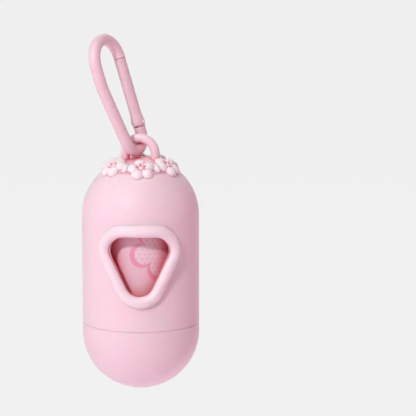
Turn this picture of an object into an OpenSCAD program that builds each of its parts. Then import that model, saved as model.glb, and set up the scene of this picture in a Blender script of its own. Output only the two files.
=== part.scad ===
// Pocket dispenser for dog poop bags: a pill-shaped case that unscrews in two, with a
// grommet-rimmed window, a blossom wreath, a hanging loop and a spring-gated carabiner.
// Millimetres. +Z runs up the case's axis, the window faces -Y, and the origin is the
// middle of the small flat under the cap.

/* [Case] */
// Outside diameter of the pill-shaped case
case_d = 42; // [40:0.5:46]
// Length of the case from the base flat to the top of the dome
case_l = 84; // [82:0.5:90]
// Wall thickness of the case
wall = 1.8; // [1.4:0.1:2.1]
// Diameter of the flat under the cap
base_flat_d = 5; // [3:0.5:8]
// Height of the cap's straight skirt above its bowl, up to the parting line
cap_skirt = 3.35; // [2:0.05:6]
// Chamfer on both edges of the parting line
seam_chamfer = 0.3; // [0.1:0.05:0.5]

/* [Screw neck] */
// Length of the neck below the parting line
neck_l = 6; // [4:0.5:8]
// Wall thickness of the neck
neck_wall = 1.5; // [1:0.1:1.7]
// Radial room between neck and cap, which the thread fills
thread_room = 0.9; // [0.6:0.1:1.1]
// Height of the solid shoulder inside the shell above the neck
shoulder_h = 1.2; // [0.8:0.1:3]

/* [Window] */
// Corner radius of the window opening
window_r = 5.1; // [4:0.1:5.6]
// Distance between the corner centres along the window's top edge
window_top_w = 10.5; // [8:0.5:12]
// Height from the lower corner centre to the upper two
window_corner_h = 11.05; // [9:0.05:13]
// Distance from the rim's upper edge to where the dome starts
rim_drop = 0.35; // [0.1:0.05:3]
// Width of the round rim
rim_d = 4.2; // [3:0.1:5]
// How far the middle of the rim's round section stands off the case
rim_lift = 0.1; // [0:0.05:0.5]

/* [Hanging loop] */
// Thickness of the loop's round bar
loop_d = 3.2; // [2.6:0.1:3.4]
// Radius of the loop's arch to the middle of its bar
loop_r = 5.55; // [5.3:0.05:6]
// Height of the loop above the dome
loop_h = 8.4; // [8.4:0.1:9.5]
// Turn of the loop about the case's axis
loop_yaw = -15; // [-20:1:-10]
// Diameter of the staked heads inside the dome
stake_d = 5; // [4:0.1:6]
// Thickness of the staked heads
stake_h = 1; // [0.6:0.1:1.5]

/* [Wreath] */
// Number of blossoms in the wreath
blossoms = 6; // [5:1:6]
// Angle between the case's axis and each blossom
blossom_tilt = 31; // [29:0.5:34]
// Radius of one puffed petal
petal_r = 2.35; // [2:0.05:2.5]
// How deep the middle of a petal's ball lies under the dome's surface
petal_sink = 0.7; // [0.4:0.05:0.9]
// Distance from a blossom's middle to its petals
petal_reach = 2.9; // [2.6:0.05:3.1]
// Turn of the whole wreath about the case's axis
wreath_turn = 3; // [0:0.5:6]
// Turn of each blossom on its own middle
petal_turn = 8; // [0:1:20]
// Radius of a blossom's middle
blossom_eye_r = 1.5; // [1.2:0.05:1.7]
// Radius of the pit at each petal's foot
pit_r = 0.5; // [0.3:0.05:0.6]
// Distance from a blossom's middle to its pits
pit_reach = 1.45; // [1.2:0.05:1.6]
// Radius of the egg-shaped buds that join the blossoms, at their middle
bud_r = 1.45; // [1.2:0.05:1.6]
// Radius of a bud's rounded ends
bud_end_r = 1.15; // [0.9:0.05:1.2]
// Distance from a bud's middle to the middle of its rounded ends
bud_reach = 1.1; // [0.8:0.05:1.3]
// How much nearer the case's axis the buds sit, as an angle
bud_inset = 1; // [0:0.5:5]

/* [Bag roll] */
// Outside diameter of the cardboard core
core_d = 10; // [8:0.5:14]
// Wall thickness of the cardboard core
core_wall = 1; // [0.6:0.1:1.5]

/* [Carabiner] */
// Thickness of the carabiner's round bar
bar_d = 4.2; // [3.8:0.1:4.2]
// Radius of the bottom bend to the middle of the bar
bend_r = 5.65; // [5.6:0.05:6]
// Radius of the crown to the middle of the bar
crown_r = 8.2; // [7:0.1:9]
// Distance along the hook from the bottom bend's centre to the crown's centre
crown_rise = 27.8; // [27:0.1:32]
// Height of the elbow above the bottom bend's centre
elbow_rise = 20.4; // [18:0.1:22]
// Bend radius where the lower spine meets the upper one
elbow_r = 16; // [10:1:20]
// Lean of the whole carabiner from upright
hook_lean = 15.8; // [14:0.2:18]
// Turn of the carabiner's plane about its own length
hook_yaw = 61; // [50:1:65]
// Thickness of the gate
gate_d = 4.1; // [3.6:0.1:4.2]
// Thickness of the gate's foot round the pivot
gate_foot_d = 5; // [4.5:0.1:5.2]
// Height of the gate's pivot above the bottom bend's centre
pivot_rise = 3.4; // [3.2:0.1:4]
// Straight run of the nose from the gate's joint up to the crown
nose_run = 0.9; // [0.7:0.1:3]
// Height of the step in the nose joint
nose_step = 1.2; // [0.8:0.1:1.8]

/* [Gate works] */
// Thickness of the frame's flat tang inside the gate's fork
tang_t = 1.5; // [1.2:0.1:1.8]
// Width of the tang
tang_w = 2.2; // [2:0.1:2.4]
// Height of the tang's flat end above the pivot
tang_rise = 1.4; // [1.2:0.1:1.5]
// Opening angle that the fork leaves room for
gate_swing = 26; // [25:1:30]
// Diameter of the pivot pin
pin_d = 1.2; // [1:0.1:1.4]
// Diameter of the blind bore for spring and plunger
gate_bore_d = 2.1; // [1.9:0.1:2.3]
// Depth of that bore above the fork
gate_bore_l = 10.5; // [9:0.5:14]
// Wire thickness of the gate spring
wire_d = 0.3; // [0.2:0.05:0.35]
// Number of turns in the gate spring
spring_turns = 8; // [5:1:10]

/* [Clearances] */
// Radial room between the bag roll and the neck that it passes
roll_gap = 0.8; // [0.5:0.1:2]
// Room above the bag roll, up to the dome
roll_headroom = 2.8; // [1:0.1:8]
// Gap between parts that move past each other
run_gap = 0.3; // [0.2:0.05:0.4]
// Gap between the loop and the carabiner's bend under it
link_gap = 0.45; // [0.3:0.05:0.8]
// Radial play of the pivot pin in the gate
pin_play = 0.05; // [0.02:0.01:0.1]
// Radial play of the roll on its core
core_play = 0.06; // [0.02:0.01:0.1]
// Gap at the nose joint and beside the tang
nose_gap = 0.15; // [0.1:0.05:0.2]
// Radial gap of spring and plunger in their bore
bore_gap = 0.1; // [0.05:0.05:0.15]
// Gap between the plunger's tip and the tang
tip_gap = 0.05; // [0.05:0.01:0.1]
// Room above the plunger for its travel
plunger_travel = 0.4; // [0.35:0.05:0.6]

/* [Hidden] */
$fn = 96;

// Case
case_r = case_d / 2;
inner_r = case_r - wall;
base_sag = case_r - sqrt(pow(case_r, 2) - pow(base_flat_d / 2, 2));
low_z = case_r - base_sag;
parting_z = low_z + cap_skirt;
dome_z = case_l - case_r;
neck_or = inner_r - thread_room;
neck_ir = neck_or - neck_wall;

// Roll: it passes the neck, its lower rim sits just clear of the cap's bowl
roll_r = neck_ir - roll_gap;
roll_z = low_z - sqrt(pow(inner_r - run_gap, 2) - pow(roll_r, 2));
roll_l = dome_z + sqrt(pow(inner_r, 2) - pow(roll_r, 2)) - roll_headroom - roll_z;

// Window: corner centres of the rounded triangle, in x and z
window_top_z = dome_z - rim_drop - rim_d - window_r;
window_corners = [
    [window_top_w / 2, window_top_z],
    [-window_top_w / 2, window_top_z],
    [0, window_top_z - window_corner_h]
];
rim_path_r = window_r + rim_d / 2;
rim_sides = 12;
arc_steps = 12;
edge_steps = 7;

// Loop
arch_z = case_l + loop_h - loop_d / 2 - loop_r;
leg_foot_z = dome_z + sqrt(pow(inner_r, 2) - pow(loop_r, 2)) - stake_h;

// Where the carabiner's bend goes under the arch, seen from the arch's middle
hook_cross = -2.15;
cross_z = arch_z + sqrt(pow(loop_r, 2) - pow(hook_cross, 2));
bar_r = bar_d / 2;
// The bend's centre lies above the crossing, and a little to the spine's side
bend_side = 0.3;
bend_lift = bend_r - bar_r - loop_d / 2 - link_gap;

// Carabiner outline, in u across and v along, from the bottom bend's centre;
// the lower spine runs from the bend straight to the elbow, and so leans
spine_u = bend_r - 2 * crown_r;
spine_splay = acos(bend_r / norm([spine_u, elbow_rise])) - atan2(elbow_rise, -spine_u);
splay_start = bend_r * [-cos(spine_splay), -sin(spine_splay)];
elbow_cut = elbow_r * tan(spine_splay / 2);
splay_end = [spine_u, elbow_rise] - elbow_cut * [-sin(spine_splay), cos(spine_splay)];
elbow_c = [spine_u + elbow_r, elbow_rise + elbow_cut];
pivot = [bend_r, pivot_rise];
nose_v = crown_rise - nose_run;
gate_l = nose_v - pivot_rise;
gate_r = gate_d / 2;
foot_r = gate_foot_d / 2;
cup_r = foot_r + nose_gap;
knuckle_v = pivot_rise - sqrt(pow(cup_r, 2) - pow(bar_r, 2));
foot_blend = 3.2;
ball_over = 0.02;

// Gate works, heights above the pivot
tang_corner = norm([tang_w / 2, tang_rise]);
slot_top = tang_corner + run_gap;
slot_w = tang_t + 2 * nose_gap;
bore_top = slot_top + gate_bore_l;
pin_l = gate_foot_d - 2 * nose_gap;
plunger_r = gate_bore_d / 2 - bore_gap;
plunger_tip = tang_rise + tip_gap;
plunger_shoulder = slot_top + 2;
spring_r = gate_bore_d / 2 - bore_gap - wire_d / 2;
stub_r = spring_r - wire_d / 2 - bore_gap;
stub_l = 1.2;
spring_low = plunger_shoulder + plunger_travel + wire_d / 2;
spring_high = bore_top - bore_gap - wire_d / 2;
spring_sides = 6;
turn_steps = 14;
eps = 0.01;

// ---------- Shared shapes ----------

// Half outline of the case's pill, shrunk by inset
module pill_outline(inset) {
    r = case_r - inset;
    intersection() {
        union() {
            translate([0, low_z]) circle(r);
            translate([0, dome_z]) circle(r);
            translate([0, low_z]) square([r, dome_z - low_z]);
        }
        translate([0, max(0, inset - base_sag)]) square([r, case_l]);
    }
}

// Half section of the case's wall between two heights
module wall_section(z_from, z_to) {
    intersection() {
        difference() {
            pill_outline(0);
            pill_outline(wall);
        }
        translate([0, z_from]) square([case_d, z_to - z_from]);
    }
}

// Small triangle that bevels the outer edge at the parting line
module seam_bevel() {
    polygon([
        [case_r - seam_chamfer, parting_z],
        [case_r + eps, parting_z - seam_chamfer - eps],
        [case_r + eps, parting_z + seam_chamfer + eps]
    ]);
}

// Rounded triangle, reach being the distance from the corner centres
module window_shape(reach) {
    for (c = window_corners) translate(c) circle(reach);
    polygon(window_tangents(reach));
}

// Places children on the dome at a tilt from the axis, upright on its surface
module on_dome(tilt, turn) {
    translate([0, 0, dome_z]) rotate([0, tilt, turn]) translate([0, 0, case_r]) children();
}

// Moves children from the carabiner's own frame, x = u and z = v, to its place
module at_hook() {
    rotate([0, 0, loop_yaw]) translate([hook_cross, 0, 0]) rotate([0, 0, -loop_yaw])
        translate([0, 0, cross_z]) rotate([0, -hook_lean, 0]) rotate([0, 0, hook_yaw])
            translate([-bend_side, 0, bend_lift]) children();
}

// Round bar bent round a centre, between two angles in the u-v plane
module bar_arc(centre, radius, a_from, a_to) {
    translate([centre.x, 0, centre.y]) rotate([90, 0, 0])
        rotate_extrude(angle = a_to - a_from, start = a_from)
            translate([radius, 0]) circle(bar_r);
}

// Ball that closes the bar where a straight run meets a bend, a hair over the bar's size
module bar_ball(at) {
    translate([at.x, 0, at.y]) sphere(bar_r + ball_over);
}

// Straight round bar between two points of the u-v plane
module bar_line(from, to) {
    run = to - from;
    translate([from.x, 0, from.y]) rotate([0, atan2(run.x, run.y), 0])
        cylinder(r = bar_r, h = norm(run));
}

// ---------- Functions for the swept rim ----------

// Outward unit normal of the window triangle's edge i, and its two ends
function edge_turn(i) = let (run = window_corners[(i + 1) % 3] - window_corners[i])
    atan2(run.y, run.x) - 90;
function ray(a) = [cos(a), sin(a)];
function window_tangents(reach) = [
    for (i = [0:2]) each [
        window_corners[i] + reach * ray(edge_turn(i)),
        window_corners[(i + 1) % 3] + reach * ray(edge_turn(i))
    ]
];
// Wraps an angle into 0..360
function wrap(a) = a - 360 * floor(a / 360);
// Closed path round the window: each corner's arc, then the straight edge after it
function window_path(reach) = [
    for (i = [0:2]) let (
        a_in = edge_turn((i + 2) % 3),
        sweep = wrap(edge_turn(i) - a_in),
        p = window_corners[i] + reach * ray(edge_turn(i)),
        q = window_corners[(i + 1) % 3] + reach * ray(edge_turn(i))
    ) each concat(
        [for (k = [0:arc_steps - 1]) window_corners[i] + reach * ray(a_in + sweep * k / arc_steps)],
        [for (k = [0:edge_steps - 1]) p + (q - p) * k / edge_steps]
    )
];
// Lays a point of the path on the cylinder that the rim's middle follows
function on_case(p, r) = [p.x, -sqrt(r * r - p.x * p.x), p.y];
function unit(w) = w / norm(w);

// Faces of a closed tube of m rings with n points each
function ring_faces(m, n) = [
    for (i = [0:m - 1], j = [0:n - 1]) each [
        [i * n + j, ((i + 1) % m) * n + j, ((i + 1) % m) * n + (j + 1) % n],
        [i * n + j, ((i + 1) % m) * n + (j + 1) % n, i * n + (j + 1) % n]
    ]
];

// ---------- Carabiner ----------

module carabiner_frame() {
    color([0.95, 0.76, 0.83]) at_hook() difference() {
        union() {
            // Crown, upper spine, elbow, lower spine and bottom bend
            bar_arc([bend_r - crown_r, crown_rise], crown_r, 0, 180);
            bar_line([spine_u, elbow_c.y], [spine_u, crown_rise]);
            bar_arc(elbow_c, elbow_r, 180, 180 + spine_splay);
            bar_line(splay_start, splay_end);
            bar_ball(splay_start);
            bar_ball(splay_end);
            bar_arc([0, 0], bend_r, 180 + spine_splay, 360);
            bar_line([bend_r, nose_v - nose_step / 2], [bend_r, crown_rise]);
            // Knuckle, hollowed to the ball of the gate's foot
            difference() {
                bar_line([bend_r, 0], [bend_r, knuckle_v]);
                translate([pivot.x, 0, pivot.y]) sphere(cup_r);
            }
            // Tang that the gate's fork straddles
            translate([bend_r - tang_w / 2, -tang_t / 2, 0])
                cube([tang_w, tang_t, pivot_rise + tang_rise]);
        }
        // Inner half of the nose is cut back by the step
        translate([bend_r - bar_d + nose_gap / 2, -bar_d, nose_v - nose_step])
            cube([bar_d, 2 * bar_d, 1.5 * nose_step]);
        translate([pivot.x, 0, pivot.y]) rotate([90, 0, 0])
            cylinder(d = pin_d, h = bar_d, center = true);
    }
}

module gate_pin() {
    color([0.78, 0.78, 0.80]) at_hook() translate([pivot.x, 0, pivot.y]) rotate([90, 0, 0])
        cylinder(d = pin_d, h = pin_l, center = true);
}

module carabiner_gate() {
    color([0.93, 0.72, 0.80]) at_hook() translate([pivot.x, 0, pivot.y]) difference() {
        union() {
            sphere(foot_r);
            cylinder(r1 = foot_r, r2 = gate_r, h = foot_blend);
            translate([0, 0, foot_blend - eps])
                cylinder(r = gate_r, h = gate_l + nose_step / 2 - nose_gap - foot_blend + eps);
        }
        // Outer half of the tip is cut back under the nose's lip
        translate([-nose_gap / 2, -gate_d, gate_l - nose_step / 2 - nose_gap])
            cube([gate_d, 2 * gate_d, 2 * nose_step]);
        // Fork slot: open at the back, closed on the spine's side but for the tang's swing
        translate([-tang_w / 2 - run_gap, -slot_w / 2, -gate_foot_d])
            cube([2 * gate_foot_d, slot_w, gate_foot_d + slot_top]);
        rotate([0, gate_swing, 0]) translate([-tang_w / 2 - run_gap, -slot_w / 2, -gate_foot_d])
            cube([2 * gate_foot_d, slot_w, gate_foot_d]);
        // Pivot hole and blind bore
        rotate([90, 0, 0]) cylinder(r = pin_d / 2 + pin_play, h = 2 * gate_foot_d, center = true);
        cylinder(d = gate_bore_d, h = bore_top);
    }
}

module gate_plunger() {
    color([0.80, 0.80, 0.82]) at_hook() translate([pivot.x, 0, pivot.y]) {
        translate([0, 0, plunger_tip + plunger_r]) sphere(plunger_r);
        translate([0, 0, plunger_tip + plunger_r])
            cylinder(r = plunger_r, h = plunger_shoulder - plunger_tip - plunger_r);
        translate([0, 0, plunger_shoulder]) cylinder(r = stub_r, h = stub_l);
    }
}

module gate_spring() {
    steps = spring_turns * turn_steps;
    pitch = (spring_high - spring_low) / steps;
    points = [
        for (i = [0:steps]) let (a = 360 * i / turn_steps)
            for (j = [0:spring_sides - 1])
                let (b = 360 * j / spring_sides, r = spring_r + wire_d / 2 * cos(b))
                [r * cos(a), r * sin(a), spring_low + pitch * i + wire_d / 2 * sin(b)]
    ];
    walls = [
        for (i = [0:steps - 1], j = [0:spring_sides - 1]) let (k = (j + 1) % spring_sides) each [
            [i * spring_sides + j, (i + 1) * spring_sides + k, (i + 1) * spring_sides + j],
            [i * spring_sides + j, i * spring_sides + k, (i + 1) * spring_sides + k]
        ]
    ];
    caps = [
        [for (j = [spring_sides - 1:-1:0]) j],
        [for (j = [0:spring_sides - 1]) steps * spring_sides + j]
    ];
    color([0.72, 0.73, 0.75]) at_hook() translate([pivot.x, 0, pivot.y])
        polyhedron(points, concat(walls, caps));
}

// ---------- Case ----------

module upper_shell() {
    color([0.96, 0.80, 0.87]) difference() {
        rotate_extrude() difference() {
            union() {
                wall_section(parting_z, case_l);
                // Neck, and the shoulder that carries it
                polygon([
                    [neck_ir, parting_z - neck_l],
                    [neck_or, parting_z - neck_l],
                    [neck_or, parting_z],
                    [inner_r + eps, parting_z],
                    [inner_r + eps, parting_z + shoulder_h + inner_r - neck_ir],
                    [neck_ir, parting_z + shoulder_h]
                ]);
            }
            seam_bevel();
        }
        // Window through the front wall
        rotate([90, 0, 0]) linear_extrude(case_d) window_shape(window_r);
        // Holes for the loop's legs
        rotate([0, 0, loop_yaw]) for (side = [-1, 1])
            translate([side * loop_r, 0, dome_z]) cylinder(d = loop_d, h = case_r);
    }
}

module bottom_cap() {
    color([0.95, 0.78, 0.85]) rotate_extrude() difference() {
        wall_section(0, parting_z);
        seam_bevel();
    }
}

module hanging_loop() {
    color([0.96, 0.78, 0.86]) rotate([0, 0, loop_yaw]) {
        translate([0, 0, arch_z]) rotate([90, 0, 0])
            rotate_extrude(angle = 180) translate([loop_r, 0]) circle(loop_d / 2);
        for (side = [-1, 1]) translate([side * loop_r, 0, leg_foot_z])
            cylinder(d = loop_d, h = arch_z - leg_foot_z);
        // Heads staked flat against the inside of the dome
        intersection() {
            for (side = [-1, 1]) translate([side * loop_r, 0, leg_foot_z - eps])
                cylinder(d = stake_d, h = 2 * stake_h);
            translate([0, 0, dome_z]) sphere(inner_r);
        }
    }
}

module window_rim() {
    follow_r = case_r + rim_lift;
    path = [for (p = window_path(rim_path_r)) on_case(p, follow_r)];
    m = len(path);
    rings = [
        for (i = [0:m - 1]) let (
            along = unit(path[(i + 1) % m] - path[(i + m - 1) % m]),
            out = unit([path[i].x, path[i].y, 0]),
            across = unit(cross(along, out))
        ) for (j = [0:rim_sides - 1]) let (a = 360 * j / rim_sides)
            path[i] + rim_d / 2 * (cos(a) * out + sin(a) * across)
    ];
    color([0.98, 0.86, 0.90]) difference() {
        polyhedron(rings, ring_faces(m, rim_sides));
        translate([0, 0, parting_z]) cylinder(r = case_r, h = dome_z - parting_z);
    }
}

module blossom() {
    pit_z = sqrt(pow(petal_r, 2) - pow(petal_reach - pit_reach, 2)) - petal_sink;
    rotate([0, 0, petal_turn]) difference() {
        union() {
            for (a = [0:72:359]) rotate([0, 0, a])
                translate([-petal_reach, 0, -petal_sink]) sphere(petal_r);
            sphere(blossom_eye_r);
        }
        for (a = [0:72:359]) rotate([0, 0, a]) translate([-pit_reach, 0, pit_z]) sphere(pit_r);
    }
}

module bud() {
    sphere(bud_r);
    for (side = [-1, 1]) translate([side * bud_reach, 0, 0]) sphere(bud_end_r);
}

module blossom_wreath() {
    step = 360 / blossoms;
    color([0.98, 0.88, 0.92]) difference() {
        union() {
            for (i = [0:blossoms - 1]) on_dome(blossom_tilt, wreath_turn - 90 + i * step) blossom();
            for (i = [0:blossoms - 1])
                on_dome(blossom_tilt - bud_inset, wreath_turn - 90 + (i + 0.5) * step) bud();
        }
        // Seat on the dome, and room for the loop's legs
        translate([0, 0, dome_z]) sphere(case_r);
        rotate([0, 0, loop_yaw]) for (side = [-1, 1])
            translate([side * loop_r, 0, dome_z]) cylinder(r = loop_d / 2 + nose_gap, h = case_d);
    }
}

// ---------- Bag roll ----------

module roll_core() {
    color([0.66, 0.50, 0.36]) translate([0, 0, roll_z]) difference() {
        cylinder(d = core_d, h = roll_l);
        translate([0, 0, -eps]) cylinder(d = core_d - 2 * core_wall, h = roll_l + 2 * eps);
    }
}

module bag_roll_film() {
    color([0.97, 0.83, 0.88]) translate([0, 0, roll_z]) difference() {
        cylinder(r = roll_r, h = roll_l);
        translate([0, 0, -eps]) cylinder(r = core_d / 2 + core_play, h = roll_l + 2 * eps);
    }
}

carabiner_frame();
carabiner_gate();
gate_pin();
gate_spring();
gate_plunger();
upper_shell();
hanging_loop();
window_rim();
blossom_wreath();
bottom_cap();
roll_core();
bag_roll_film();
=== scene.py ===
"""Look and light of the pocket dispenser for dog poop bags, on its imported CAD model.

Lengths are in metres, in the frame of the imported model: +Z runs up the case's axis and the
window faces -Y. Colours are written as 8-bit sRGB.
"""

import math

import bpy
import numpy as np
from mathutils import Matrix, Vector


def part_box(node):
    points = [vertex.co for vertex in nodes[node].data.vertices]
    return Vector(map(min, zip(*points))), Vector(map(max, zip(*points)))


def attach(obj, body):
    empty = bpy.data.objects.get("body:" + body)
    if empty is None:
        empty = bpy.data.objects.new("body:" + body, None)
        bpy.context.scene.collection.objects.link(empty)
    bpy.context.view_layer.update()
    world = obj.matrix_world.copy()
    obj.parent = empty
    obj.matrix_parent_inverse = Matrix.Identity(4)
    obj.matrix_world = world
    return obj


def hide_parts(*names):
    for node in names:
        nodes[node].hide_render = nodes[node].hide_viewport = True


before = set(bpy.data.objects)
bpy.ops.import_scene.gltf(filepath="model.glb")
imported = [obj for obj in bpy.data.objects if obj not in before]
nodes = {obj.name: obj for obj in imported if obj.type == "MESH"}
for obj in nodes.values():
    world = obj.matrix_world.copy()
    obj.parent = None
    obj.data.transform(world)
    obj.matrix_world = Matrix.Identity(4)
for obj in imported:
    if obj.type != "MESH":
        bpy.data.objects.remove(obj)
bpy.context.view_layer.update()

# ---------- Sizes ----------

MM = 0.001

# As in the part's source, under the same names
WALL = 1.8 * MM
BASE_FLAT_D = 5 * MM
WINDOW_R = 5.1 * MM
WINDOW_TOP_W = 10.5 * MM
WINDOW_CORNER_H = 11.05 * MM
RIM_D = 4.2 * MM
RIM_LIFT = 0.1 * MM
BLOSSOMS = 6
BLOSSOM_TILT = math.radians(31)
PETAL_R = 2.35 * MM
PETAL_REACH = 2.9 * MM
WREATH_TURN = 3
BLOSSOM_EYE_R = 1.5 * MM
CORE_D = 10 * MM
CORE_PLAY = 0.06 * MM

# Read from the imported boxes
cap_low, cap_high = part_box("bottom_cap")
_, shell_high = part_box("upper_shell")
_, rim_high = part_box("window_rim")
film_low, film_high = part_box("bag_roll_film")

CASE_R = (cap_high.x - cap_low.x) / 2
INNER_R = CASE_R - WALL
PARTING_Z = cap_high.z
DOME_Z = shell_high.z - CASE_R
BOWL_Z = math.sqrt(CASE_R**2 - (BASE_FLAT_D / 2) ** 2)
WINDOW_TOP_Z = rim_high.z - WINDOW_R - RIM_D
ROLL_R = (film_high.x - film_low.x) / 2


# ---------- Material helpers ----------

AO_SAMPLES = 6


def srgb(red, green, blue):
    """8-bit sRGB as the linear RGBA that a shader takes."""
    def linear(value):
        share = value / 255
        return share / 12.92 if share <= 0.04045 else ((share + 0.055) / 1.055) ** 2.4

    return (linear(red), linear(green), linear(blue), 1.0)


def darker(colour, share):
    """A linear RGBA colour times share, still opaque."""
    return tuple(c * share for c in colour[:3]) + (1.0,)


class Paint:
    """One node material on a Principled shader, built up by small steps."""

    def __init__(self, name, **constants):
        self.material = bpy.data.materials.new(name)
        self.material.use_nodes = True
        self.tree = self.material.node_tree
        self.shader = self.tree.nodes["Principled BSDF"]
        self.coordinates = self.tree.nodes.new("ShaderNodeTexCoord")
        self.height = None
        for socket, value in constants.items():
            self.shader.inputs[socket.replace("_", " ")].default_value = value

    def feed(self, socket, value):
        """Gives a socket a constant, or another node's output."""
        if isinstance(value, bpy.types.NodeSocket):
            self.tree.links.new(value, socket)
        else:
            socket.default_value = value

    def node(self, kind, settings=None, **sockets):
        """Adds a node and feeds its sockets, each by its name or by its number as i0, i1 ..."""
        made = self.tree.nodes.new(kind)
        for key, value in (settings or {}).items():
            setattr(made, key, value)
        for key, value in sockets.items():
            numbered = key[0] == "i" and key[1:].isdigit()
            self.feed(made.inputs[int(key[1:]) if numbered else key], value)
        return made

    def math(self, operation, first, second=0.0, third=0.0):
        settings = {"operation": operation}
        return self.node("ShaderNodeMath", settings, i0=first, i1=second, i2=third).outputs[0]

    def vector_math(self, operation, first, second):
        settings = {"operation": operation}
        made = self.node("ShaderNodeVectorMath", settings, i0=first, i1=second)
        return made.outputs["Value" if operation == "DISTANCE" else "Vector"]

    def length(self, first, second):
        """Length of the vector with these two parts."""
        squares = self.math("MULTIPLY", first, first), self.math("MULTIPLY", second, second)
        return self.math("SQRT", self.math("ADD", *squares))

    def ramp(self, value, low, high, to_low=0.0, to_high=1.0):
        """value from low..high to to_low..to_high, eased at both ends."""
        settings = {"interpolation_type": "SMOOTHSTEP"}
        ends = {"i1": low, "i2": high, "i3": to_low, "i4": to_high}
        return self.node("ShaderNodeMapRange", settings, i0=value, **ends).outputs[0]

    def mix(self, factor, first, second):
        """The first colour at factor 0, the second at 1."""
        made = self.node("ShaderNodeMix", {"data_type": "RGBA"}, i0=factor, i6=first, i7=second)
        return made.outputs[2]

    def place(self):
        return self.coordinates.outputs["Object"]

    def xyz(self):
        """The three parts of the place."""
        return self.node("ShaderNodeSeparateXYZ", i0=self.place()).outputs

    def noise(self, size, detail=2.0, stretch=(1.0, 1.0, 1.0)):
        """Noise from 0 to 1 whose grain is about size metres."""
        scaled = self.vector_math("MULTIPLY", self.place(), tuple(s / size for s in stretch))
        made = self.node("ShaderNodeTexNoise", Vector=scaled, Scale=1.0, Detail=detail)
        return made.outputs["Fac"]

    def openness(self, reach):
        """1 on an open face, towards 0 in a cranny that is narrow for its reach."""
        settings = {"samples": AO_SAMPLES}
        return self.node("ShaderNodeAmbientOcclusion", settings, Distance=reach).outputs["AO"]

    def set(self, socket, value):
        self.feed(self.shader.inputs[socket], value)

    def colour(self, value):
        self.set("Base Color", value)

    def colour_so_far(self):
        """The output that now feeds the shader's colour."""
        return self.shader.inputs["Base Color"].links[0].from_socket

    def bump(self, value, depth):
        """Raises the surface by value times depth metres, on top of any earlier bump."""
        made = self.node("ShaderNodeBump", Strength=1.0, Distance=depth, Height=value)
        if self.height:
            self.feed(made.inputs["Normal"], self.height)
        self.height = made.outputs["Normal"]
        self.set("Normal", self.height)

    def painted_cranny_shade(self, outer, deep, reach=2.0 * MM, share=0.8):
        """Painted shade: deepens a colour in crannies, where pale plastic lights itself pink and
        lies in shade.
        """
        return self.mix(self.ramp(self.openness(reach), 0.05, 0.75, share, 0.0), outer, deep)

    def depth_below_skin(self):
        """How far a point lies inside the case's outer skin, in metres."""
        height = self.math("MINIMUM", self.math("MAXIMUM", self.xyz()[2], BOWL_Z), DOME_Z)
        centre = self.node("ShaderNodeCombineXYZ", i2=height).outputs[0]
        return self.math("SUBTRACT", CASE_R, self.vector_math("DISTANCE", self.place(), centre))


# ---------- Materials ----------

PLASTIC = srgb(250, 218, 227)
PLASTIC_PALE = srgb(255, 236, 241)
# Painted light: the rim is a paler copy of the case's plastic, for the extra light the proud bead
# catches
PLASTIC_RIM_PAINTED_LIGHT = srgb(255, 229, 236)
# Painted shade: deep rose for the case's inside and the window's cut faces
INSIDE_PAINTED_SHADE = srgb(244, 74, 98)
# Painted shade: deep rose in crannies and under the hook
PAINTED_SHADE_ROSE = srgb(222, 78, 110)
# Painted shade: deep rose where a piece's crease attribute is high
CREASE_PAINTED_SHADE = srgb(222, 84, 122)
COAT = srgb(243, 206, 215)
# Painted shade: the gate's coat is a darker copy of the frame's, for the shadow the frame casts
# along the gate
GATE_COAT_PAINTED_SHADE = srgb(235, 198, 207)

# Print on the film
GROUND = srgb(255, 216, 227)
PETAL_PALE = srgb(255, 225, 234)
PETAL_LINE = srgb(255, 176, 202)
PETAL_DOT = srgb(240, 178, 200)
# Painted shade on the film: deep red in the window's recess
FILM_PAINTED_SHADE = srgb(244, 44, 84)

# Middle across and up, reach, lean and whether it is dotted, of each printed flower
FLOWER_PRINT = [
    (7.5 * MM, 53.0 * MM, 11.5 * MM, 0.35, True),
    (-15.0 * MM, 40.0 * MM, 10.0 * MM, 1.0, False),
    (20.0 * MM, 27.0 * MM, 10.5 * MM, 0.1, True),
    (-30.0 * MM, 60.0 * MM, 9.5 * MM, 0.6, True),
    (36.0 * MM, 50.0 * MM, 10.0 * MM, 0.9, False),
    (-38.0 * MM, 26.0 * MM, 10.5 * MM, 0.3, False),
]


def moulded(name, outer, roughness=0.42, depth=2.0 * MM, spread=(1.0, 0.18, 0.26), share=0.5,
            painted_cranny_shade=2.0 * MM):
    """Soft-touch moulded plastic with a fine mould grain, and painted shade in its crannies.

    A share of the light passes through it, to depth times spread in red, green and blue."""
    paint = Paint(
        name, Roughness=roughness, Subsurface_Weight=share, Subsurface_Scale=depth,
        Subsurface_Radius=spread, IOR=1.46, Specular_IOR_Level=0.35,
    )
    cloud = paint.ramp(paint.noise(14 * MM), 0.35, 0.65)
    skin = paint.mix(cloud, darker(outer, 0.985), outer)
    # Painted shade: deep rose in crannies, within the given reach
    paint.colour(paint.painted_cranny_shade(skin, PAINTED_SHADE_ROSE, painted_cranny_shade))
    paint.bump(paint.noise(0.32 * MM, 3.0), 0.012 * MM)
    paint.bump(paint.noise(5 * MM, 1.0), 0.03 * MM)
    worn = paint.ramp(paint.noise(2.2 * MM), 0.3, 0.7, roughness - 0.04, roughness + 0.05)
    paint.set("Roughness", worn)
    return paint


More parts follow.
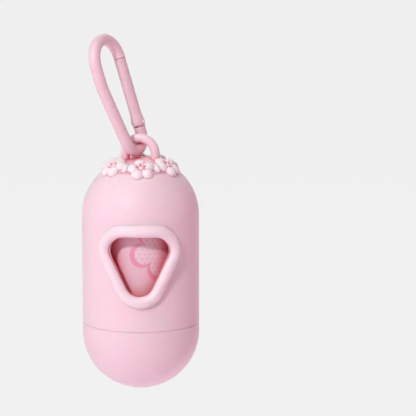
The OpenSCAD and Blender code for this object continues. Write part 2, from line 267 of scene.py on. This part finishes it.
def case_plastic(name):
    """The case's plastic, with painted shade: deeper pink on the dome under the hook, and deep rose
    on the window's cut faces and inside, where the plastic lies in shade.
    """
    paint = moulded(name, PLASTIC, painted_cranny_shade=3.6 * MM)
    outer = paint.colour_so_far()
    # Painted shade: deep rose just inside the outer skin, on the cut faces and the inside
    inside = paint.ramp(paint.depth_below_skin(), 0.12 * MM, 0.42 * MM)
    height = paint.xyz()[2]
    # Painted shade: deeper pink in the crannies under the hook, near the top of the dome
    hidden = paint.ramp(paint.openness(5 * MM), 0.35, 1.0, 1.0, 0.0)
    near_top = paint.ramp(height, DOME_Z + 18.2 * MM, DOME_Z + 19.6 * MM)
    painted_shade_under_hook = paint.math("MULTIPLY", hidden, near_top)
    outer = paint.mix(painted_shade_under_hook, outer, PAINTED_SHADE_ROSE)
    # The neck and the cap, up to just above the parting line, get a quarter of the painted
    # deep-rose shade and keep more of the outer colour
    share = paint.ramp(height, PARTING_Z + 2 * MM, PARTING_Z + 6 * MM, 0.25, 1.0)
    paint.colour(paint.mix(paint.math("MULTIPLY", inside, share), outer, INSIDE_PAINTED_SHADE))
    return paint.material


def plastic_with_painted_shade(name, outer, depth=0.8 * MM, spread=(1.0, 0.85, 0.9)):
    """Pale plastic with painted shade: deep rose where the mesh's crease attribute is high."""
    paint = moulded(name, outer, roughness=0.4, depth=depth, spread=spread, share=0.6)
    pale = paint.colour_so_far()
    crease = paint.node("ShaderNodeAttribute", {"attribute_name": "crease"}).outputs["Fac"]
    paint.colour(paint.mix(crease, pale, CREASE_PAINTED_SHADE))
    return paint.material


def powder_coat(name, coat):
    """Satin paint on metal, with the faint orange peel of a baked coat, and painted shade in its
    crannies.
    """
    paint = Paint(name, Roughness=0.42, IOR=1.5, Coat_Weight=0.08, Coat_Roughness=0.35)
    patches = paint.ramp(paint.noise(9 * MM), 0.3, 0.7)
    skin = paint.mix(patches, darker(coat, 0.97), coat)
    # Painted shade: deep rose in crannies
    paint.colour(paint.painted_cranny_shade(skin, PAINTED_SHADE_ROSE, 2.4 * MM))
    paint.bump(paint.noise(0.5 * MM, 2.0), 0.012 * MM)
    paint.set("Roughness", paint.ramp(paint.noise(1.5 * MM), 0.3, 0.7, 0.38, 0.48))
    return paint.material


def steel(name):
    """Drawn steel wire and pin stock."""
    paint = Paint(name, Metallic=1.0, Roughness=0.28)
    drawn = paint.noise(0.12 * MM, 2.0, (1.0, 1.0, 0.15))
    paint.colour(paint.mix(drawn, srgb(176, 178, 182), srgb(206, 207, 210)))
    paint.set("Roughness", paint.ramp(drawn, 0.3, 0.7, 0.22, 0.36))
    paint.bump(drawn, 0.004 * MM)
    return paint.material


def kraft_board(name):
    """Spirally wound kraft board, with its seam and fibres."""
    seam_lead = 16 * MM
    paint = Paint(name, Roughness=0.85, Specular_IOR_Level=0.25)
    x, y, z = paint.xyz()
    turn = paint.math("ARCTAN2", y, x)
    turns = paint.math("DIVIDE", turn, 2 * math.pi)
    along = paint.math("MULTIPLY_ADD", z, 1 / seam_lead, turns)
    seam = paint.math("ABSOLUTE", paint.math("SUBTRACT", paint.math("FRACT", along), 0.5))
    fibre = paint.noise(0.5 * MM, 4.0, (1.0, 1.0, 0.3))
    board = paint.mix(paint.ramp(fibre, 0.3, 0.7), srgb(168, 128, 92), srgb(196, 158, 120))
    paint.colour(paint.mix(paint.ramp(seam, 0.46, 0.5), board, srgb(124, 90, 62)))
    paint.bump(fibre, 0.03 * MM)
    paint.bump(paint.ramp(seam, 0.46, 0.5, 1.0, 0.0), 0.12 * MM)
    return paint.material


def printed_film(name):
    """Satin bag film with a loose print of five-petal outlines, some of them dotted inside, and
    painted shade in the window's recess.
    """
    paint = Paint(
        name, Roughness=0.45, Subsurface_Weight=0.8, Subsurface_Scale=4.0 * MM,
        Subsurface_Radius=(0.16, 0.08, 0.10), Specular_IOR_Level=0.35,
    )
    x, y, up = paint.xyz()
    turn = paint.math("ARCTAN2", x, paint.math("MULTIPLY", y, -1.0))
    across = paint.math("MULTIPLY", turn, ROLL_R)

    def flower(middle_across, middle_up, reach, lean):
        """Distance outside a five-petal outline of the given reach, less than 0 inside."""
        dx = paint.math("SUBTRACT", across, middle_across)
        dz = paint.math("SUBTRACT", up, middle_up)
        angle = paint.math("ADD", paint.math("ARCTAN2", dz, dx), lean)
        far = paint.length(dx, dz)
        lobe = paint.math("ABSOLUTE", paint.math("COSINE", paint.math("MULTIPLY", angle, 2.5)))
        petals = paint.math("POWER", lobe, 0.55)
        edge = paint.math("MULTIPLY_ADD", petals, 0.42 * reach, 0.58 * reach)
        return paint.math("SUBTRACT", far, edge)

    # Dots on a staggered grid
    pitch = 1.9 * MM
    row = paint.math("DIVIDE", up, pitch * 0.86)
    odd_row = paint.math("FLOORED_MODULO", paint.math("FLOOR", row), 2.0)
    shift = paint.math("MULTIPLY", odd_row, 0.5)
    column = paint.math("ADD", paint.math("DIVIDE", across, pitch), shift)
    cell_x = paint.math("SUBTRACT", paint.math("FRACT", column), 0.5)
    cell_z = paint.math("SUBTRACT", paint.math("FRACT", row), 0.5)
    dots = paint.ramp(paint.length(cell_x, cell_z), 0.09, 0.17, 1.0, 0.0)

    # Each outline is a band inside its flower's edge
    edge_blur, band_depth = 0.05 * MM, 0.95 * MM
    shade = GROUND
    for *flower_place, dotted in FLOWER_PRINT:
        away = flower(*flower_place)
        inside = paint.ramp(away, -edge_blur, edge_blur, 1.0, 0.0)
        fill = paint.mix(dots, PETAL_PALE, PETAL_DOT) if dotted else PETAL_PALE
        from_band = paint.math("ABSOLUTE", paint.math("ADD", away, band_depth))
        band = paint.ramp(from_band, 0.86 * MM, 1.0 * MM, 1.0, 0.0)
        shade = paint.mix(inside, shade, paint.mix(band, fill, PETAL_LINE))
    # Painted shade: deep red where the film is closed in behind the window
    paint.colour(paint.painted_cranny_shade(shade, FILM_PAINTED_SHADE, 6.5 * MM, 0.9))
    wrinkle = paint.noise(3.0 * MM, 2.0, (1.0, 1.0, 0.35))
    paint.bump(wrinkle, 0.05 * MM)
    paint.set("Roughness", paint.ramp(wrinkle, 0.3, 0.7, 0.33, 0.46))
    return paint.material


shell_pink = case_plastic("shell_plastic")
cap_pink = case_plastic("cap_plastic")
loop_pink = moulded("loop_plastic", PLASTIC, depth=0.5 * MM, spread=(1.0, 0.6, 0.7)).material
rim_pink = plastic_with_painted_shade("rim_plastic", PLASTIC_RIM_PAINTED_LIGHT, 1.3 * MM, (1.0, 0.7, 0.76))
wreath_pink = plastic_with_painted_shade("wreath_plastic", PLASTIC_PALE)
frame_coat = powder_coat("frame_coat", COAT)
gate_coat = powder_coat("gate_coat", GATE_COAT_PAINTED_SHADE)
bare_steel = steel("bare_steel")
core_board = kraft_board("core_board")
film_print = printed_film("film_print")

for name, material in {
    "carabiner_frame": frame_coat, "carabiner_gate": gate_coat, "gate_pin": bare_steel,
    "gate_spring": bare_steel, "gate_plunger": bare_steel, "upper_shell": shell_pink,
    "hanging_loop": loop_pink, "window_rim": rim_pink, "blossom_wreath": wreath_pink,
    "bottom_cap": cap_pink, "roll_core": core_board, "bag_roll_film": film_print,
}.items():
    nodes[name].data.materials.clear()
    nodes[name].data.materials.append(material)


# ---------- Mesh helpers ----------

def piece(name, points, faces, material, body, replaces=()):
    """A smooth-shaded mesh that rides on a CAD body."""
    mesh = bpy.data.meshes.new(name)
    mesh.from_pydata([tuple(p) for p in points], [], [tuple(int(i) for i in f) for f in faces])
    mesh.materials.append(material)
    mesh.polygons.foreach_set("use_smooth", [True] * len(mesh.polygons))
    mesh.validate()
    mesh.update()
    made = bpy.data.objects.new(name, mesh)
    bpy.context.scene.collection.objects.link(made)
    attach(made, body)
    if replaces:
        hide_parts(*replaces)
    return made


def shade_points(made, shades):
    """Sets how much painted shade each point of a piece gets, from 0 to 1, in its crease attribute.
    """
    attribute = made.data.attributes.new("crease", "FLOAT", "POINT")
    attribute.data.foreach_set("value", np.asarray(shades, dtype=np.float32))


def unit(vector):
    return vector / np.linalg.norm(vector)


def full_turn(sides):
    """Angles of that many even steps round a circle, from 0."""
    return 2 * np.pi * np.arange(sides) / sides


def rounded_shares(rings):
    """Shares of a dome's reach for its rings, closer together towards its edge."""
    return np.sin(np.pi / 2 * np.arange(1, rings + 1) / rings)


def grid_faces(rows, columns, wrap_rows=False):
    """Quads of a grid of points, numbered row by row. Each row is a closed ring."""
    faces = []
    for i in range(rows if wrap_rows else rows - 1):
        for j in range(columns):
            k, n = (i + 1) % rows, (j + 1) % columns
            faces.append((i * columns + j, i * columns + n, k * columns + n, k * columns + j))
    return faces


def end_caps(rings, sides):
    """Faces that close both ends of a tube of rings."""
    return [tuple(range(sides))[::-1], tuple(range((rings - 1) * sides, rings * sides))]


def outward(points, faces):
    """The faces of a closed form, turned to face out."""
    points = np.asarray(points, dtype=float)
    corners = np.array([(f[0], f[k], f[k + 1]) for f in faces for k in range(1, len(f) - 1)])
    first, second, third = points[corners[:, 0]], points[corners[:, 1]], points[corners[:, 2]]
    volume = (first * np.cross(second, third)).sum()
    return faces if volume > 0 else [tuple(reversed(f)) for f in faces]


# ---------- Window rim: a round bead with a soft fillet to the case ----------

def window_path(reach, arc_steps=20, edge_steps=10):
    """Points (x, z) round the window at a distance from its corner centres."""
    half = WINDOW_TOP_W / 2
    corners = [
        np.array([half, WINDOW_TOP_Z]),
        np.array([-half, WINDOW_TOP_Z]),
        np.array([0.0, WINDOW_TOP_Z - WINDOW_CORNER_H]),
    ]
    runs = [corners[(i + 1) % 3] - corners[i] for i in range(3)]
    turns = [math.atan2(run[1], run[0]) - math.pi / 2 for run in runs]
    points = []
    for i, (corner, run) in enumerate(zip(corners, runs)):
        start = turns[i - 1]
        sweep = (turns[i] - start) % (2 * math.pi)
        for k in range(arc_steps):
            a = start + sweep * k / arc_steps
            points.append(corner + reach * np.array([math.cos(a), math.sin(a)]))
        out = reach * np.array([math.cos(turns[i]), math.sin(turns[i])])
        for k in range(edge_steps):
            points.append(corner + out + run * k / edge_steps)
    return points


def rim_section():
    """(across, out) round the bead, from the fillet's outer edge to inside the window."""
    r, flare = RIM_D / 2, 0.4 * MM
    # Share of the flare beyond the bead, and height in mm
    fillet = [(1.0, -0.30), (0.72, -0.22), (0.42, -0.08), (0.18, 0.14), (0.03, 0.42)]
    points = [(r + share * flare, height * MM) for share, height in fillet]
    steps = 24
    for k in range(3, steps + 1):
        a = math.pi * k / steps
        points.append((r * math.cos(a), r * math.sin(a)))
    points.append((-r + 0.02 * MM, -0.12 * MM))
    return points


def window_rim():
    """The bead, with painted shade that deepens low on its side towards the window."""
    shaded_height = 0.9 * MM
    follow = CASE_R + RIM_LIFT
    outline = window_path(WINDOW_R + RIM_D / 2)
    path = [np.array([x, -math.sqrt(follow**2 - x * x), z]) for x, z in outline]
    section = rim_section()
    points = []
    for i, at in enumerate(path):
        along = unit(path[(i + 1) % len(path)] - path[i - 1])
        out = unit(np.array([at[0], at[1], 0.0]))
        across = unit(np.cross(along, out))
        points += [at + a * across + h * out for a, h in section]
    faces = outward(points, grid_faces(len(path), len(section), wrap_rows=True))
    made = piece("window_rim_bead", points, faces, rim_pink, "shell", ["window_rim"])
    # Painted shade: deep rose low on the bead's inner side, towards the window
    inward = [max(0.0, -a / (RIM_D / 2)) * np.clip(1 - h / shaded_height, 0, 1)
              for a, h in section]
    shade_points(made, np.tile(np.array(inward) ** 2, len(path)))


# ---------- Blossom wreath: puffed petals, pitted eyes, buds and stems ----------

PETALS = 5
PETAL_SINK = 0.5 * MM  # 0.7 mm in the source, whose petals are plain balls
FOOT_DEPTH = 0.9 * MM  # where the closing foot lies, inside the wall
EYE_SINK = 0.12 * MM
PIT_REACH = 1.42 * MM
PIT_LONG = 0.42 * MM
PIT_WIDE = 0.30 * MM
PIT_DEPTH = 0.55 * MM
BLOSSOM_LEAN = math.radians(98)
BUD_TILT = math.radians(30.5)
BUD_HALF_ACROSS = 1.55 * MM
BUD_HALF_UP = 2.3 * MM
BUD_TOP = 1.45 * MM
BUD_SINK = 0.3 * MM
STEM_TILT = math.radians(37.2)
STEM_R = 0.34 * MM


def on_dome(tilt, turn, reach, angle, height):
    """Points on the dome about a spot at tilt and turn: reach along the skin, angle from
    across to up the slope, and height above the skin, each an array."""
    middle = np.array([
        math.sin(tilt) * math.cos(turn), math.sin(tilt) * math.sin(turn), math.cos(tilt)
    ])
    across = np.array([-math.sin(turn), math.cos(turn), 0.0])
    up = np.array([
        -math.cos(tilt) * math.cos(turn), -math.cos(tilt) * math.sin(turn), math.sin(tilt)
    ])
    bent = reach / CASE_R
    toward = np.cos(angle)[..., None] * across + np.sin(angle)[..., None] * up
    ray = np.cos(bent)[..., None] * middle + np.sin(bent)[..., None] * toward
    return np.array([0.0, 0.0, DOME_Z]) + (CASE_R + height)[..., None] * ray


def closed_rings(tilt, turn, top, far, angles, height):
    """Points and faces of rings about a top point, closed by a foot inside the case's wall."""
    rings, sides = far.shape
    spot = np.zeros(1)
    centre = on_dome(tilt, turn, spot, spot, np.array([top]))
    foot = on_dome(tilt, turn, spot, spot, np.array([-FOOT_DEPTH]))
    points = on_dome(tilt, turn, far, np.broadcast_to(angles, far.shape), height)
    points = np.vstack([centre, points.reshape(-1, 3), foot])
    last, end = 1 + (rings - 1) * sides, len(points) - 1
    faces = [(0, 1 + (j + 1) % sides, 1 + j) for j in range(sides)]
    faces += [tuple(1 + v for v in f) for f in grid_faces(rings, sides)]
    faces += [(end, last + j, last + (j + 1) % sides) for j in range(sides)]
    return points, outward(points, faces)


def petal_axes(x, y, lean):
    """For each petal, how far points lie along it from the eye, and aside from it."""
    for k in range(PETALS):
        a = lean + math.radians(360 / PETALS * k)
        yield x * math.cos(a) + y * math.sin(a), -x * math.sin(a) + y * math.cos(a)


def petal_height(x, y, lean):
    """Height of the puffed petals over the skin, and how close a point is to a crease."""
    tops = []
    for along, aside in petal_axes(x, y, lean):
        round_off = PETAL_R**2 - (along - PETAL_REACH) ** 2 - aside**2
        puffed = np.sqrt(np.maximum(round_off, 0))
        tops.append(np.where(round_off > 0, puffed, round_off / PETAL_R))
    tops = np.sort(np.array(tops), axis=0)
    first, second = tops[-1], tops[-2]
    gap = first - second
    soft = np.maximum(0.16 * MM - gap, 0) ** 2 / (0.64 * MM)
    return first - PETAL_SINK + soft, np.exp(-gap / (0.22 * MM))


def petal_outline(angles, lean):
    """Reach at which the petals' tops dive under the skin, for each angle."""
    step, dive = 0.03 * MM, 0.3 * MM
    reach = np.full(len(angles), 6 * MM)
    for _ in range(160):
        height, _ = petal_height(reach * np.cos(angles), reach * np.sin(angles), lean)
        reach = np.where(height < -dive, reach - step, reach)
    return reach


def blossom(turn, lean):
    """Points, painted crease shade and faces of one blossom, as rings about its eye."""
    rings, sides = 44, 150
    angles = lean + full_turn(sides)
    far = rounded_shares(rings)[:, None] * petal_outline(angles, lean)[None, :]
    x, y = far * np.cos(angles), far * np.sin(angles)
    petals, crease = petal_height(x, y, lean)
    eye = np.sqrt(np.maximum(BLOSSOM_EYE_R**2 - (1.25 * far) ** 2, 0)) - EYE_SINK
    pits = np.zeros_like(far)
    for along, aside in petal_axes(x, y, lean):
        from_pit = ((along - PIT_REACH) / PIT_LONG) ** 2
        pits = np.maximum(pits, np.exp(-from_pit - (aside / PIT_WIDE) ** 2))
    height = np.maximum(petals, eye) - PIT_DEPTH * pits

    # Painted shade: deep rose in the pits, round the eye, in the creases and low on the petals
    round_eye = np.exp(-((far - 1.15 * MM) / (0.35 * MM)) ** 2)
    low = np.clip(1 - (height + 0.1 * MM) / (0.75 * MM), 0, 1)
    shade = 1.15 * pits + 0.30 * round_eye + crease * np.clip(0.25 + low, 0, 0.8)
    shade = np.clip(shade + 0.75 * low**1.5, 0, 1)
    shade = np.where(far < 0.8 * MM, np.minimum(shade, 0.25), shade)
    points, faces = closed_rings(
        BLOSSOM_TILT, turn, BLOSSOM_EYE_R - EYE_SINK, far, angles, height
    )
    return points, np.concatenate([[0.15], shade.ravel(), [1.0]]), faces


def bud(turn):
    """Points, painted shade and faces of an upright egg between two blossoms, the shade deepest low
    on it.
    """
    rings, sides = 16, 48
    angles = full_turn(sides)
    share = rounded_shares(rings)
    edge = BUD_HALF_ACROSS * BUD_HALF_UP / np.hypot(
        BUD_HALF_UP * np.cos(angles), BUD_HALF_ACROSS * np.sin(angles)
    )
    far = share[:, None] * edge[None, :]
    rise = np.sqrt(np.maximum(1 - share**2, 0)) * (BUD_TOP + BUD_SINK) - BUD_SINK
    height = np.repeat(rise[:, None], sides, axis=1)
    # Painted shade: deep rose low on the bud
    low = np.clip(1 - (height + 0.1 * MM) / (0.7 * MM), 0, 1)
    points, faces = closed_rings(BUD_TILT, turn, BUD_TOP, far, angles, height)
    return points, np.concatenate([[0.0], 0.75 * low.ravel() ** 1.5, [0.75]]), faces


def stem(from_turn, to_turn):
    """Points, painted shade and faces of a stem that lies between two blossoms; the stem is painted
    half in shade all over.
    """
    steps, sides = 16, 12
    ring = full_turn(sides)
    reach, height = STEM_R * np.cos(ring), STEM_R * np.sin(ring)
    up_slope = np.full(sides, math.pi / 2)
    turns = [from_turn + (to_turn - from_turn) * i / (steps - 1) for i in range(steps)]
    points = np.vstack([on_dome(STEM_TILT, turn, reach, up_slope, height) for turn in turns])
    faces = grid_faces(steps, sides) + end_caps(steps, sides)
    # Painted shade: the whole stem at half strength
    return points, np.full(steps * sides, 0.5), outward(points, faces)


def wreath():
    """Blossoms, buds and stems round the dome, as one piece."""
    step = 2 * math.pi / BLOSSOMS
    parts = []
    for i in range(BLOSSOMS):
        turn = math.radians(WREATH_TURN - 90) + i * step
        parts.append(blossom(turn, BLOSSOM_LEAN))
        parts.append(bud(turn + step / 2))
        parts.append(stem(turn + 0.30 * step, turn + 0.70 * step))
    points, shades, faces = [], [], []
    for part_points, part_shades, part_faces in parts:
        start = sum(len(p) for p in points)
        points.append(part_points)
        shades.append(part_shades)
        faces += [tuple(v + start for v in f) for f in part_faces]
    made = piece("blossom_relief", np.vstack(points), faces, wreath_pink, "shell",
                 ["blossom_wreath"])
    shade_points(made, np.concatenate(shades))


# ---------- Bag roll: a wound web with soft wrinkles and a free edge ----------

def film_roll():
    """The roll: its outer turn ends in a free edge, and its ends show wound turns."""
    around, up, end_rings = 288, 90, 14
    bore = CORE_D / 2 + CORE_PLAY
    free_edge = math.radians(20)
    film, wrinkle_depth, edge_curl, end_dip = 0.16 * MM, 0.10 * MM, 0.35 * MM, 0.12 * MM
    turn = full_turn(around)
    wound = 1 - ((turn - free_edge) / (2 * np.pi)) % 1.0
    length = film_high.z - film_low.z
    z = film_low.z + length * (0.5 - 0.5 * np.cos(np.pi * np.arange(up + 1) / up))
    share = (z - z[0]) / (z[-1] - z[0])
    t, s = np.meshgrid(turn, share)
    wrinkle = (
        0.5 * np.sin(3 * t + 5 * s) * np.sin(9 * s + 1.0)
        + 0.3 * np.sin(7 * t - 11 * s + 0.7) * np.sin(17 * s)
        + 0.2 * np.sin(13 * t + 23 * s)
    )
    radius = ROLL_R - film * (1 - wound[None, :]) - wrinkle_depth * (0.5 + 0.5 * wrinkle)
    curl = edge_curl * (np.exp(-share / 0.012) + np.exp(-(1 - share) / 0.012))
    radius = radius - curl[:, None]

    def ring(r, height):
        return np.stack([r * np.cos(turn), r * np.sin(turn), np.full(around, height)], 1)

    def end(height, outer, sign):
        made = []
        for k in range(1, end_rings + 1):
            r = (1 - k / end_rings) * outer + (k / end_rings) * bore
            dip = 0 if k == end_rings else end_dip * (0.5 + 0.5 * math.sin(2.3 * k))
            made.append(ring(r, height - sign * dip))
        return made

    rows = end(z[0], radius[0], -1)[::-1]
    rows += [ring(r, height) for r, height in zip(radius, z)]
    rows += end(z[-1], radius[-1], 1)
    faces = grid_faces(len(rows), around, wrap_rows=True)
    piece("film_web", np.vstack(rows), faces, film_print, "film",
          ["bag_roll_film"])


# ---------- Screw thread: two starts on the neck and two in the cap ----------

NECK_R = 18.3 * MM
THREAD_LEAD = 5 * MM
THREAD_HEIGHT = 0.55 * MM
NECK_THREAD = (19.0 * MM, 22.9 * MM)
CAP_THREAD = (20.6 * MM, 23.4 * MM)
# The cap's ridges start 1.6 mm higher up the same screw, and run midway between the neck's
CAP_THREAD_TURN = 2 * math.pi * 1.6 / 5 + math.pi / 2


def thread(name, body, material, root_r, height, ends, start):
    """A right-handed two-start ridge; height below 0 stands inward."""
    base, top, sink = 1.1 * MM, 0.5 * MM, 0.1 * MM * (1 if height > 0 else -1)
    low_z, high_z = ends
    steps = 60
    points, faces = [], []
    for first in (start, start + math.pi):
        ring_at = len(points)
        for i in range(steps):
            share = i / (steps - 1)
            z = low_z + (high_z - low_z) * share
            turn = first + 2 * math.pi * (z - low_z) / THREAD_LEAD
            crest = height * min(1.0, 12 * share, 12 * (1 - share))
            section = ((-base / 2, -sink), (-top / 2, crest), (top / 2, crest), (base / 2, -sink))
            for up, out in section:
                r = root_r + out
                points.append((r * math.cos(turn), r * math.sin(turn), z + up))
        ridge = grid_faces(steps, 4) + end_caps(steps, 4)
        faces += [tuple(v + ring_at for v in f) for f in ridge]
    made = piece(name, points, outward(points, faces), material, body)
    made.data.polygons.foreach_set("use_smooth", [False] * len(made.data.polygons))


window_rim()
wreath()
film_roll()
thread("neck_thread", "shell", shell_pink, NECK_R, THREAD_HEIGHT, NECK_THREAD, 0.0)
thread("cap_thread", "cap", cap_pink, INNER_R, -THREAD_HEIGHT, CAP_THREAD,
       CAP_THREAD_TURN)

# ---------- Camera ----------

TARGET = Vector((24.2 * MM, 0.0, 65.4 * MM))
ELEVATION = math.radians(9.9)
DISTANCE = 0.95
FIELD = 149.3 * MM
SENSOR_WIDTH = 36.0

camera = bpy.data.cameras.new("camera")
camera.sensor_width = SENSOR_WIDTH
camera.lens = SENSOR_WIDTH * DISTANCE / FIELD
camera_object = bpy.data.objects.new("camera", camera)
bpy.context.scene.collection.objects.link(camera_object)
away = Vector((0.0, -math.cos(ELEVATION), math.sin(ELEVATION)))
camera_object.location = TARGET + DISTANCE * away
camera_object.rotation_euler = (-away).to_track_quat("-Z", "Y").to_euler()
bpy.context.scene.camera = camera_object
bpy.context.scene.view_settings.view_transform = "Standard"

# ---------- Floor, backdrop and light ----------

BACKDROP = srgb(239, 239, 239)
WORLD_FILL = (1.0, 0.85, 0.90, 1.0)
WORLD_FILL_STRENGTH = 0.02
FLOOR_HALF = 6.0
FLOOR_Z = -120 * MM
FLOOR_TONE = srgb(226, 226, 226)
FLOOR_SEEN_TONE = srgb(244, 244, 244)
FLOOR_SEEN_SHARE = 0.95
FLOOR_GLOW = (1.0, 0.66, 0.86, 1.0)
FLOOR_GLOW_STRENGTH = 0.42
LIT_MIDDLE = Vector((0.0, 0.0, 60 * MM))
WHITE = (1.0, 1.0, 1.0)
PINK = (1.0, 0.42, 0.55)
ROSE = (1.0, 0.25, 0.40)


def source(tree, kind, colour, strength=1.0):
    """Output of a new background or emission shader."""
    made = tree.nodes.new(kind)
    made.inputs["Color"].default_value = colour
    made.inputs["Strength"].default_value = strength
    return made.outputs[0]


def joined(tree, kind, *inputs):
    """Output of a new node that these outputs feed, in order."""
    made = tree.nodes.new(kind)
    for socket, value in zip(made.inputs, inputs):
        tree.links.new(value, socket)
    return made.outputs[0]


def higher(tree, first, second):
    """The higher of two values."""
    made = tree.nodes.new("ShaderNodeMath")
    made.operation = "MAXIMUM"
    tree.links.new(first, made.inputs[0])
    tree.links.new(second, made.inputs[1])
    return made.outputs[0]


def seen_or_lit(tree, seen, lit):
    """Mixes two shaders: seen for camera, glossy and transmission rays, lit for the rest."""
    rays = tree.nodes.new("ShaderNodeLightPath").outputs
    either = higher(tree, rays["Is Camera Ray"], rays["Is Glossy Ray"])
    any_of = higher(tree, either, rays["Is Transmission Ray"])
    return joined(tree, "ShaderNodeMixShader", any_of, lit, seen)


def world_light():
    """An even backdrop that lights the part only faintly."""
    world = bpy.data.worlds.new("studio")
    world.use_nodes = True
    tree = world.node_tree
    tree.nodes.clear()
    seen = source(tree, "ShaderNodeBackground", BACKDROP)
    lit = source(tree, "ShaderNodeBackground", WORLD_FILL, WORLD_FILL_STRENGTH)
    out = tree.nodes.new("ShaderNodeOutputWorld")
    tree.links.new(seen_or_lit(tree, seen, lit), out.inputs[0])
    bpy.context.scene.world = world


def floor():
    """Pale floor below the hanging part; the camera sees mostly its even tone, and a trace
    of shadow."""
    half = FLOOR_HALF
    corners = [(-half, -half), (half, -half), (half, half), (-half, half)]
    mesh = bpy.data.meshes.new("floor")
    mesh.from_pydata([(x, y, FLOOR_Z) for x, y in corners], [], [(0, 1, 2, 3)])
    material = bpy.data.materials.new("floor")
    material.use_nodes = True
    tree = material.node_tree
    diffuse = tree.nodes["Principled BSDF"]
    diffuse.inputs["Base Color"].default_value = FLOOR_TONE
    diffuse.inputs["Roughness"].default_value = 0.9
    glow = source(tree, "ShaderNodeEmission", FLOOR_GLOW, FLOOR_GLOW_STRENGTH)
    lit = joined(tree, "ShaderNodeAddShader", diffuse.outputs[0], glow)
    even = source(tree, "ShaderNodeEmission", FLOOR_SEEN_TONE)
    seen = tree.nodes.new("ShaderNodeMixShader")
    seen.inputs[0].default_value = FLOOR_SEEN_SHARE
    tree.links.new(diffuse.outputs[0], seen.inputs[1])
    tree.links.new(even, seen.inputs[2])
    out = tree.nodes["Material Output"]
    tree.links.new(seen_or_lit(tree, seen.outputs[0], lit), out.inputs[0])
    mesh.materials.append(material)
    made = bpy.data.objects.new("floor", mesh)
    bpy.context.scene.collection.objects.link(made)


def lamp(name, place, size, power, colour=WHITE):
    """Square soft box that faces the part's middle."""
    light = bpy.data.lights.new(name, "AREA")
    light.size = size
    light.energy = power
    light.color = colour
    made = bpy.data.objects.new(name, light)
    made.location = Vector(place)
    made.rotation_euler = (LIT_MIDDLE - made.location).to_track_quat("-Z", "Y").to_euler()
    bpy.context.scene.collection.objects.link(made)


world_light()
floor()
lamp("key", (-0.47, -0.88, 0.74), 0.10, 7.7)
lamp("side", (-1.0, -0.15, 0.30), 0.9, 1.4)
lamp("top", (-0.1, -0.35, 1.2), 0.8, 4.8)
lamp("front", (0.45, -1.0, -0.02), 0.5, 0.4, ROSE)
lamp("right_rim", (1.0, 0.25, 0.25), 0.8, 2.1, PINK)
lamp("back", (0.1, 1.0, 0.6), 0.9, 2.0)
